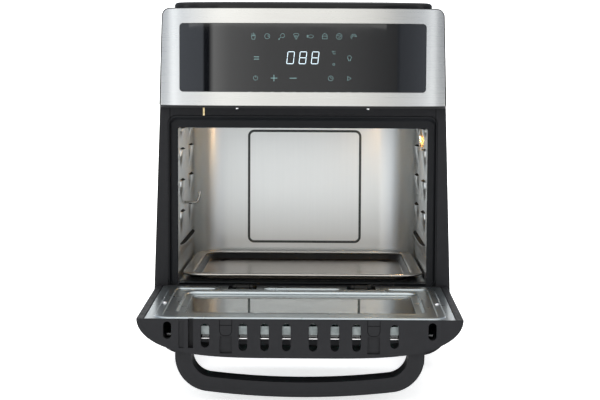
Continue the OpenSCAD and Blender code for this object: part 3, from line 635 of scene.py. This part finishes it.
def make_tray():
    """The pressed tray: rolled rim, flat flange, sloping walls and a floor with a shallow step."""
    half, y0, y1 = TRAY[1].x, TRAY[0].y, TRAY[1].y
    top, low = TRAY[1].z, TRAY[0].z
    us = spread(-100 * MM, 100 * MM, 8 * MM)
    vs = spread(y0 + 34 * MM, y1 - 34 * MM, 8 * MM)

    def ring(inset, z, r):
        near, far = y0 + inset * MM, y1 - inset * MM
        outline = round_outline(half - inset * MM, near, far, max(r, 3) * MM, us, vs, 16)
        return [(u, v, z) for u, v in outline]

    def rise_from(level, profile):
        """Rings from (inset, height above the level, corner radius)."""
        return [ring(inset, level + up * MM, r) for inset, up, r in profile]

    rings = rise_from(low, [(22, 0, 14), (19.8, 0, 14.5), (18.4, 0.9, 15), (17.0, 3.5, 15.5)])
    rings += rise_from(top, [(14.8, -3.0, 16.5), (13.4, -1.6, 17.5), (5.0, -1.3, 24)])
    marks = [1] * 6
    roll, rim_r = 1.7, 28
    for t in np.linspace(-math.pi * 0.85, math.pi * 0.62, 14):
        inset = roll - roll * math.cos(t)
        rings.append(ring(inset, top - (roll - roll * math.sin(t)) * MM, rim_r - inset))
    marks += [1] + [0] * 13
    rings += rise_from(top, [(4.4, -0.75, 25), (10.6, -0.75, 19), (11.6, -0.85, 18)])
    rings += rise_from(top, [(12.6, -1.3, 17), (13.4, -2.2, 16.4), (14.4, -4.2, 16)])
    # Painted light: the inner walls (mark 3) take the lighter copy of the tray's inner steel, and the floor (mark
    # 2) the darker one.
    marks += [0] * 4 + [3] * 2
    rings += rise_from(low, [(16.6, 3.6, 15), (17.6, 1.8, 14.5), (19.4, 0.9, 14)])
    rings += rise_from(low, [(29, 0.8, 10), (30.2, 1.2, 9), (36, 1.2, 8)])
    marks += [3] * 2 + [2] * 4
    points, faces = loft(rings, cap_first=True, cap_last=True)
    marks = band_marks(rings, marks) + [1, 2]
    sheets = [SLOT["tray_steel"], TRAY_OUTSIDE, TRAY_INSIDE, TRAY_WALL_LIT]
    add_piece("baking_tray_pressed", points, faces, sheets, "tray", replaces=["baking_tray"],
              smooth=45, marks=marks)


def make_spit_hook():
    """The bent wire on the left wall that carries the end of a spit."""
    lo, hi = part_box("spit_hook")
    r = 1.4 * MM
    y, z = (lo.y + hi.y) / 2, lo.z + r
    bend = 4 * MM
    reach = Vector((lo.x + 16 * MM, y, z))
    path = [Vector((lo.x, y, z)), reach - Vector((bend, 0, 0))]
    path += arc_points(reach + Vector((-bend, 0, bend)), (0, 0, -bend), (bend, 0, 0), 12, 80, 7)
    path += [reach + Vector((0.6 * MM, 0, bend + 1 * MM)), Vector((hi.x - r, y, hi.z - r))]
    points, faces = tube_along(path, r)
    add_piece("spit_hook_wire", points, faces, HOOK_WIRE, "body",
              replaces=["spit_hook"], smooth=60)


# ---------------------------------------------------------------- control glass legends

GLASS_HALF = 156.7 * MM
GLASS_DEEP = FRONT_Y - GLASS[0].y


def on_glass(x, z):
    """A point on the face of the control glass."""
    return (x, FRONT_Y - float(bulge(x, GLASS_HALF, GLASS_DEEP)) - 0.06 * MM, z)


def ribbon(points, width, closed=False):
    """A flat line of the given width through (x, z) points, as quads on the glass."""
    quads = []
    chain = list(points) + ([points[0]] if closed else [])
    for (x0, z0), (x1, z1) in zip(chain, chain[1:]):
        dx, dz = x1 - x0, z1 - z0
        length = math.hypot(dx, dz) or 1.0
        px, pz = -dz / length * width / 2, dx / length * width / 2
        ex, ez = dx / length * width * 0.3, dz / length * width * 0.3
        quads.append([(x0 - ex + px, z0 - ez + pz), (x0 - ex - px, z0 - ez - pz),
                      (x1 + ex - px, z1 + ez - pz), (x1 + ex + px, z1 + ez + pz)])
    return quads


def circle(cx, cz, r, start=0, end=360, count=20):
    return [(cx + r * math.cos(math.radians(a)), cz + r * math.sin(math.radians(a)))
            for a in np.linspace(start, end, count)]


def icon_lines():
    """Eight small food pictures, each as lines in a box from -1 to 1."""
    fries = [[(-0.6, 0.1), (-0.4, -0.9), (0.4, -0.9), (0.6, 0.1), (-0.6, 0.1)]]
    fries += [[(x, 0.1), (x * 1.2, h)] for x, h in ((-0.35, 0.8), (0.0, 1.0), (0.35, 0.75))]
    steak = [circle(-0.1, 0.0, 0.75, 20, 340), circle(0.35, 0.1, 0.3)]
    fish = [circle(0.1, -0.5, 0.95, 35, 145), circle(0.1, 0.5, 0.95, 215, 325)]
    fish += [[(-0.65, 0.05), (-1.0, 0.4), (-1.0, -0.35), (-0.65, 0.05)]]
    leg = [circle(0.2, 0.2, 0.6, -120, 190), [(-0.25, -0.15), (-0.8, -0.8)], circle(-0.85, -0.85, 0.15)]
    pizza = [[(-0.8, 0.6), (0.0, -0.9), (0.8, 0.6)], circle(0, -0.3, 1.2, 48, 132), circle(0.0, 0.1, 0.2)]
    cake = [[(-0.7, -0.7), (0.7, -0.7), (0.7, 0.1), (-0.7, 0.1), (-0.7, -0.7)]]
    cake += [circle(0, 0.1, 0.7, 0, 180), [(0, 0.8), (0, 1.0)]]
    cookie = [circle(0, 0, 0.85), circle(-0.3, 0.25, 0.12), circle(0.3, 0.1, 0.12), circle(0, -0.4, 0.12)]
    prawn = [circle(0.1, -0.1, 0.8, 10, 230), circle(0.1, -0.1, 0.4, 10, 200), [(0.5, 0.0), (0.9, 0.05)]]
    return [fries, steak, leg, pizza, fish, cake, cookie, prawn]


def make_legends():
    """The lit digits and the printed touch marks on the control glass."""
    mid_z = (GLASS[0].z + GLASS[1].z) / 2
    marks = []
    size, spacing, off_middle = 3.6 * MM, 15.13, 0.6
    line = 0.3 * MM
    for i, lines in enumerate(icon_lines()):
        cx, cz = ((i - 3.5) * spacing + off_middle) * MM, mid_z + 22.6 * MM
        for path in lines:
            marks += ribbon([(cx + size * x, cz + size * z) for x, z in path], line)
    row = mid_z - 21.6 * MM
    bold = 0.6 * MM

    def shapes(cx, cz, paths, scale, width=line):
        out = []
        for path in paths:
            out += ribbon([(cx + scale * x, cz + scale * z) for x, z in path], width)
        return out

    bars = [[(-0.8, 0.38), (0.8, 0.38)], [(-0.8, -0.38), (0.8, -0.38)]]
    marks += shapes(-49 * MM, mid_z - 0.4 * MM, bars, 3.2 * MM, bold)
    marks += shapes(-50 * MM, row, [circle(0, 0, 0.8, 110, 430), [(0, 0.2), (0, 1.0)]], 2.8 * MM)
    marks += shapes(-30.4 * MM, row, [[(-1, 0), (1, 0)], [(0, -1), (0, 1)]], 3.3 * MM, bold)
    marks += shapes(-10.1 * MM, row, [[(-1, 0), (1, 0)]], 3.5 * MM, bold)
    marks += shapes(29.8 * MM, row, [circle(0, 0, 0.85), [(0, 0.45), (0, 0), (0.35, 0)]], 3 * MM)
    marks += shapes(49.2 * MM, row, [[(-0.5, 0.8), (0.8, 0), (-0.5, -0.8), (-0.5, 0.8)]], 2.8 * MM)
    degrees = [circle(-0.7, 0.6, 0.3), circle(0.3, 0, 0.75, 40, 320)]
    marks += shapes(33 * MM, mid_z + 5.6 * MM, degrees, 1.9 * MM)
    marks += shapes(33 * MM, mid_z - 6.8 * MM, [circle(0, 0, 0.7), [(0, 0.4), (0, 0), (0.3, 0)]], 1.7 * MM)
    bulb = [circle(0, 0.25, 0.65, -60, 240), [(-0.3, -0.35), (-0.3, -0.8), (0.3, -0.8), (0.3, -0.35)]]
    marks += shapes(49.6 * MM, mid_z - 0.4 * MM, bulb, 3.2 * MM)
    put_marks("touch_legends", marks, LEGEND)

    tall, wide, slant, thick, spacing = 12.6 * MM, 7.0 * MM, 0.11, 0.66 * MM, 13.0 * MM
    digit_marks = []
    for k, digit in enumerate("088"):
        cx = (k - 1) * spacing + 0.2 * MM
        for (x0, z0), (x1, z1) in segments(digit):
            a = (cx + x0 * wide / 2 + slant * z0 * tall / 2, mid_z + z0 * tall / 2)
            b = (cx + x1 * wide / 2 + slant * z1 * tall / 2, mid_z + z1 * tall / 2)
            digit_marks += [segment(a, b, thick)]
    put_marks("display_digits", digit_marks, DIGIT)


def segments(digit):
    """The lit bars of a seven-segment digit, in a box from -1 to 1."""
    bars = {
        "a": ((-1, 1), (1, 1)), "b": ((1, 1), (1, 0)), "c": ((1, 0), (1, -1)), "d": ((-1, -1), (1, -1)),
        "e": ((-1, 0), (-1, -1)), "f": ((-1, 1), (-1, 0)), "g": ((-1, 0), (1, 0)),
    }
    lit = {"0": "abcdef", "8": "abcdefg"}
    return [bars[b] for b in lit[digit]]


def segment(a, b, thick):
    """One bar with pointed ends, a little short of the corners that it joins."""
    ax, az = a
    bx, bz = b
    length = math.hypot(bx - ax, bz - az)
    ux, uz = (bx - ax) / length, (bz - az) / length
    gap = 0.28 * thick
    px, pz = -uz * thick / 2, ux * thick / 2
    half = thick / 2
    a0, b0 = (ax + ux * gap, az + uz * gap), (bx - ux * gap, bz - uz * gap)
    a1, b1 = (a0[0] + ux * half, a0[1] + uz * half), (b0[0] - ux * half, b0[1] - uz * half)
    above = [(a1[0] + px, a1[1] + pz), (b1[0] + px, b1[1] + pz)]
    below = [(b1[0] - px, b1[1] - pz), (a1[0] - px, a1[1] - pz)]
    return [a0, *above, b0, *below]


def put_marks(name, polygons, material):
    points, faces = [], []
    for polygon in polygons:
        start = len(points)
        points += [on_glass(x, z) for x, z in polygon]
        faces.append(tuple(range(start, start + len(polygon))))
    add_piece(name, points, faces, material, "body")


# ---------------------------------------------------------------- door pieces


def make_door_panel():
    """The pressed inner panel: raised bead, recess round the glass, turned edges and the hinge notches."""
    half, low, high = DOOR_PANEL[1].x, DOOR_PANEL[0].z, DOOR_PANEL[1].z
    lever_x = (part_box("switch_lever")[0].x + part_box("switch_lever")[1].x) / 2
    edges = [s * v * MM for s in (-1, 1) for v in (49, 80)] + [lever_x - 2.5 * MM, lever_x + 2.5 * MM]
    us = sorted(set(spread(-104 * MM, 104 * MM, 4 * MM) + edges))
    vs = spread(64 * MM, 136 * MM, 6 * MM)
    g = {"half": 124 * MM, "lo": 37.7 * MM, "hi": 159.7 * MM}
    level = -0.6

    def ring(h, lo, hi, r, y):
        return [(u, y * MM, v) for u, v in round_outline(h, lo, hi, r, us, vs, 10)]

    def around(grow, r, y):
        return ring(g["half"] + grow * MM, g["lo"] - grow * MM, g["hi"] + grow * MM, r * MM, y)

    def bead(off, y):
        return ring((139.3 + off) * MM, (17.4 - off) * MM, (185 + off) * MM, (11.5 + off) * MM, y)

    rings = [ring(half - 1.2 * MM, low + 1.2 * MM, high - 1.2 * MM, 1.0 * MM, -2.4)]
    rings.append(ring(half, low, high, 1.6 * MM, -2.0))
    rings.append(ring(half, low, high, 1.6 * MM, level - 0.8))
    rings.append(ring(half - 0.3 * MM, low + 0.3 * MM, high - 0.3 * MM, 1.4 * MM, level - 0.2))
    rings.append(ring(half - 1.0 * MM, low + 1.0 * MM, high - 1.0 * MM, 1.2 * MM, level))
    rings.append(bead(5.2, level))
    slope = [(4.2, 0.0), (4.05, 0.12), (3.8, 0.5), (3.55, 0.88), (3.4, 1.0)]
    for off, up in slope + [(-off, up) for off, up in reversed(slope)]:
        rings.append(bead(off, level + up))
    rings.append(bead(-6.0, level))
    rings.append(around(3.0, 14.5, level))
    for grow, y in ((2.0, 0.0), (1.5, 0.12), (0.8, 0.3), (0.2, 0.2), (-0.3, -0.2), (-0.6, -0.8), (-0.9, -1.6),
                    (-1.3, -2.0), (-1.9, -2.25), (-2.8, -2.3)):
        rings.append(around(grow, 12 + grow * 0.8, level + y))
    rings += [around(-7.4, 8.5, level - 2.3), around(-7.8, 8.2, level - 2.5), around(-8.0, 8, level - 2.98)]
    points, faces = loft(rings)
    points = [settle_bead(p, level * MM) for p in points]

    def in_notch(face):
        cx = sum(points[i][0] for i in face) / len(face)
        cz = sum(points[i][2] for i in face) / len(face)
        hinge = 49 * MM < abs(cx) < 80 * MM and cz < 21.02 * MM
        lever = abs(cx - lever_x) < 2.5 * MM and cz > 189.4 * MM
        return hinge or lever

    faces = [f for f in faces if not in_notch(f)]
    obj = add_piece("door_panel_pressed", points, faces, SLOT["door_sheet"], "door",
                    matrix=DOOR, replaces=["door_panel"], smooth=32)
    return obj


def settle_bead(point, level):
    """Flattens the back run of the bead between its three separate stretches."""
    x, y, z = point
    if z > 26 * MM or y <= level:
        return point
    gap = abs(abs(x) - 66.5 * MM)
    keep = float(rise(24.0 * MM, 27.5 * MM, gap))
    return (x, level + (y - level) * keep, z)


def make_panel_screws():
    """Pan-head screws in the side beads, with a cross recess."""
    across, up = 139.0, 112
    for side in (-1, 1):
        profile = [(0.0, 2.0), (1.0, 1.95), (1.9, 1.6), (2.5, 1.0), (2.7, 0.4), (2.7, -1.0)]
        turns = np.linspace(0, 2 * math.pi, 24, endpoint=False)
        rings = []
        for r, y in reversed(profile):
            rings.append([((side * across + r * math.cos(a)) * MM, (y - 0.1) * MM,
                           (up + r * math.sin(a)) * MM) for a in turns])
        points, faces = loft(rings, cap_first=True)
        name = "panel_screw_" + ("left" if side < 0 else "right")
        add_piece(name, points, faces, SLOT["spring_steel"], "door", matrix=DOOR, smooth=50,
                  replaces=["panel_screws"])


def make_glass_holders():
    """Bent strips that hold the outer pane's end, seen through the slots in the door's free edge."""
    pane = local_box("door_outer_glass", DOOR)
    end = pane[1].z + 2.2 * MM
    strips = (("pane_clamp_inner", pane[1].y + 7.0 * MM, pane[1].y, "zinc_steel", CLAMP),
              ("pane_clamp_outer", pane[0].y - 1.6 * MM, pane[0].y, "spring_steel", SLOT["spring_steel"]))
    for name, y0, y1, slot, sheet in strips:
        r = 0.6 * MM
        side = [(y0, end - 14 * MM), (y0, end - r), (y0 + 0.3 * r, end - 0.3 * r), (y0 + r, end)]
        side += [(y1 - r, end), (y1 - 0.3 * r, end - 0.3 * r), (y1, end - r), (y1, end - 14 * MM)]
        rings = [[(x, y, z) for y, z in side] for x in spread(-98 * MM, 98 * MM, 14 * MM)]
        points, faces = loft(rings, closed=False)
        add_piece(name, points, faces, sheet, "door", matrix=DOOR, smooth=50)


def make_catch_studs():
    """The catch plungers, each with a narrow round tip below its collar."""
    for side in ("left", "right"):
        lo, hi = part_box("catch_plunger_" + side)
        middle, r = (lo + hi) / 2, (hi.x - lo.x) / 2
        wide, tall = r / MM, (hi.z - lo.z) / MM
        profile = [(0.0, 1.4), (0.8, 1.5), (1.4, 1.9), (1.65, 2.6), (1.65, 3.3), (1.8, 3.5)]
        profile += [(wide - 0.3, 3.6), (wide, 3.9), (wide, tall), (0.0, tall)]
        rings = [[(middle.x + w * MM * math.cos(a), middle.y + w * MM * math.sin(a), lo.z + h * MM)
                  for a in np.linspace(0, 2 * math.pi, 32, endpoint=False)] for w, h in profile]
        points, faces = loft(rings)
        add_piece("catch_stud_" + side, points, faces, SLOT["spring_steel"], "catch_" + side,
                  replaces=["catch_plunger_" + side], smooth=40)


def make_catch_tongues():
    """The outlines of the catch tongues, as fine dark lines on the door's free edge."""
    off_middle, sunk, wire_r = 72, 0.2 * MM, 0.34 * MM
    for side in (-1, 1):
        cx = side * off_middle * MM
        path = [(-6, -0.6), (-6, -12), (-4.6, -15.4), (-1.8, -16.4)]
        path += [(1.8, -16.4), (4.6, -15.4), (6, -12), (6, -0.6)]
        cross = [(-6, -6.2), (6, -6.2)]
        points, faces = [], []
        for line in (path, cross):
            pts = [Vector((cx + x * MM, y * MM, DOOR_L - sunk)) for x, y in line]
            more, more_faces = tube_along(pts, wire_r, 8)
            shift = len(points)
            points += more
            faces += [tuple(i + shift for i in f) for f in more_faces]
        name = "catch_tongue_" + ("left" if side < 0 else "right")
        add_piece(name, points, faces, SHADOW_LINE, "door", matrix=DOOR, smooth=60)


# ---------------------------------------------------------------- stage, lights and camera


def make_stage():
    """A plain pale floor that runs up into a backdrop, and soft lights."""
    floor = bpy.data.meshes.new("floor")
    wide, near, far, tall, bend = 4.0, -4.0, 2.3, 0.62, 0.5
    profile = [(near, 0.0), (far - bend, 0.0)]
    turns = np.linspace(0.1, math.pi / 2, 14)
    profile += [(far - bend + bend * math.sin(t), bend - bend * math.cos(t)) for t in turns]
    profile.append((far, tall))
    points = [(x, y, z - 0.0004) for y, z in profile for x in (-wide, wide)]
    faces = [(2 * i, 2 * i + 1, 2 * i + 3, 2 * i + 2) for i in range(len(profile) - 1)]
    floor.from_pydata(points, [], faces)
    floor.shade_smooth()
    obj = bpy.data.objects.new("studio_floor", floor)
    bpy.context.scene.collection.objects.link(obj)
    s = Shader("studio_floor", (0.93, 0.93, 0.93), 0.9, Emission_Strength=0.7, Emission_Color=(1, 1, 1, 1))
    s.put("Base Color", s.blend(s.noise(1.5), (0.93, 0.93, 0.93), (0.95, 0.95, 0.95)))
    floor.materials.append(s.material)
    make_world()


def make_world():
    """Studio walls as a ring of soft panels: each is a stretch of azimuth, 0 in front of the oven."""
    world = bpy.data.worlds.new("studio")
    bpy.context.scene.world = world
    world.use_nodes = True
    tree = world.node_tree
    coords = tree.nodes.new("ShaderNodeTexCoord")
    split = tree.nodes.new("ShaderNodeSeparateXYZ")
    tree.links.new(coords.outputs["Generated"], split.inputs[0])
    forward = tree.nodes.new("ShaderNodeMath")
    forward.operation = "MULTIPLY"
    forward.inputs[1].default_value = -1.0
    tree.links.new(split.outputs["Y"], forward.inputs[0])
    azimuth = tree.nodes.new("ShaderNodeMath")
    azimuth.operation = "ARCTAN2"
    tree.links.new(split.outputs["X"], azimuth.inputs[0])
    tree.links.new(forward.outputs[0], azimuth.inputs[1])
    turn = tree.nodes.new("ShaderNodeMapRange")
    turn.inputs["From Min"].default_value = -math.pi
    turn.inputs["From Max"].default_value = math.pi
    tree.links.new(azimuth.outputs[0], turn.inputs["Value"])
    ramp = tree.nodes.new("ShaderNodeValToRGB")
    tree.links.new(turn.outputs[0], ramp.inputs["Fac"])
    cool, plain = (0.90, 0.97, 1.08), (1.0, 1.0, 0.985)
    panels = [(-180, 0.5, plain), (-150, 0.5, cool), (-110, 0.6, cool), (-48, 0.82, cool),
              (-23.4, 0.7, cool), (-23.0, 0.03, cool), (-18.6, 0.03, cool), (-18.0, 1.75, plain),
              (-10, 1.05, plain), (0, 0.65, plain), (9, 0.42, plain), (18.6, 0.28, plain),
              (18.8, 0.03, plain), (19.5, 0.03, cool), (19.8, 0.38, cool), (45, 0.66, cool),
              (90, 0.36, cool), (150, 0.4, cool), (180, 0.5, plain)]
    while len(ramp.color_ramp.elements) < len(panels):
        ramp.color_ramp.elements.new(0.5)
    for element, (degrees, level, tint) in zip(ramp.color_ramp.elements, panels):
        element.position = (degrees + 180) / 360
        element.color = (level * tint[0], level * tint[1], level * tint[2], 1.0)
    height = tree.nodes.new("ShaderNodeMapRange")
    height.inputs["From Min"].default_value = 0.16
    height.inputs["From Max"].default_value = 0.34
    tree.links.new(split.outputs["Z"], height.inputs["Value"])
    front = tree.nodes.new("ShaderNodeMapRange")
    front.inputs["From Min"].default_value = -0.3
    front.inputs["From Max"].default_value = 0.3
    tree.links.new(forward.outputs[0], front.inputs["Value"])
    above = tree.nodes.new("ShaderNodeMath")
    above.operation = "MULTIPLY"
    tree.links.new(height.outputs[0], above.inputs[0])
    tree.links.new(front.outputs[0], above.inputs[1])
    ceiling = tree.nodes.new("ShaderNodeMix")
    ceiling.data_type = "RGBA"
    tree.links.new(above.outputs[0], ceiling.inputs["Factor"])
    tree.links.new(ramp.outputs["Color"], ceiling.inputs[6])
    ceiling.inputs[7].default_value = (1.0, 1.0, 0.985, 1.0)
    background = tree.nodes["Background"]
    tree.links.new(ceiling.outputs[2], background.inputs["Color"])
    background.inputs["Strength"].default_value = 1.0


def area_light(name, place, target, size, power, color=(1, 1, 1)):
    light = bpy.data.lights.new(name, "AREA")
    light.shape = "RECTANGLE"
    light.size, light.size_y = size
    light.energy = power
    light.color = color
    obj = bpy.data.objects.new(name, light)
    bpy.context.scene.collection.objects.link(obj)
    obj.location = place
    obj.rotation_euler = (Vector(target) - Vector(place)).to_track_quat("-Z", "Y").to_euler()
    return obj


def make_lights():
    def at(x, y, z):
        return x, FRONT_Y + y, z

    centre = at(0, 0, 0.2)
    area_light("key_front", at(-0.5, -2.45, 1.3), centre, (2.8, 1.8), 11.5, (1.0, 0.985, 0.96))
    area_light("side_left", at(-2.0, -1.05, 0.9), centre, (0.5, 1.6), 2.5, (0.95, 0.98, 1.0))
    area_light("side_right", at(2.0, -1.05, 0.9), centre, (0.5, 1.6), 2, (0.95, 0.98, 1.0))
    area_light("top", at(0, 0.25, 2.4), at(0, 0.15, 0), (2.0, 2.0), 14)
    area_light("floor_wash", at(0, 1.15, 2.6), at(0, 1.05, 0), (3.0, 1.6), 30)
    lamp_lo, lamp_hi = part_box("lamp_lens")
    middle = (lamp_lo + lamp_hi) / 2
    area_light("oven_lamp", (lamp_lo.x - 1 * MM, middle.y, middle.z), (0, middle.y + 0.03, 0.12),
               (0.016, 0.016), 0.1, (1.0, 0.62, 0.28))


def make_camera():
    """A long lens in front of the oven, level with its control glass, looking slightly down and left."""
    camera = bpy.data.cameras.new("camera")
    camera.lens, camera.sensor_width = 93.0, 36.0
    obj = bpy.data.objects.new("camera", camera)
    bpy.context.scene.collection.objects.link(obj)
    place = Vector((0.017, FRONT_Y - 1.688, 0.3155))
    pitch, yaw, roll = math.radians(4.43), math.radians(0.665), math.radians(0.27)
    aim = Matrix.Rotation(yaw, 4, "Z") @ Matrix.Rotation(math.pi / 2 - pitch, 4, "X")
    turn = aim @ Matrix.Rotation(roll, 4, "Z")
    obj.matrix_world = Matrix.Translation(place) @ turn
    bpy.context.scene.camera = obj
    bpy.context.scene.view_settings.view_transform = "Standard"


make_camera()
make_stage()
make_lights()
dress_cad_nodes()
make_lid()
make_front_frame()
make_fascia_rim()
make_front_seams()
make_cavity_liner()
make_tray()
make_spit_hook()
make_legends()
make_door_panel()
make_panel_screws()
make_glass_holders()
make_catch_studs()
make_catch_tongues()
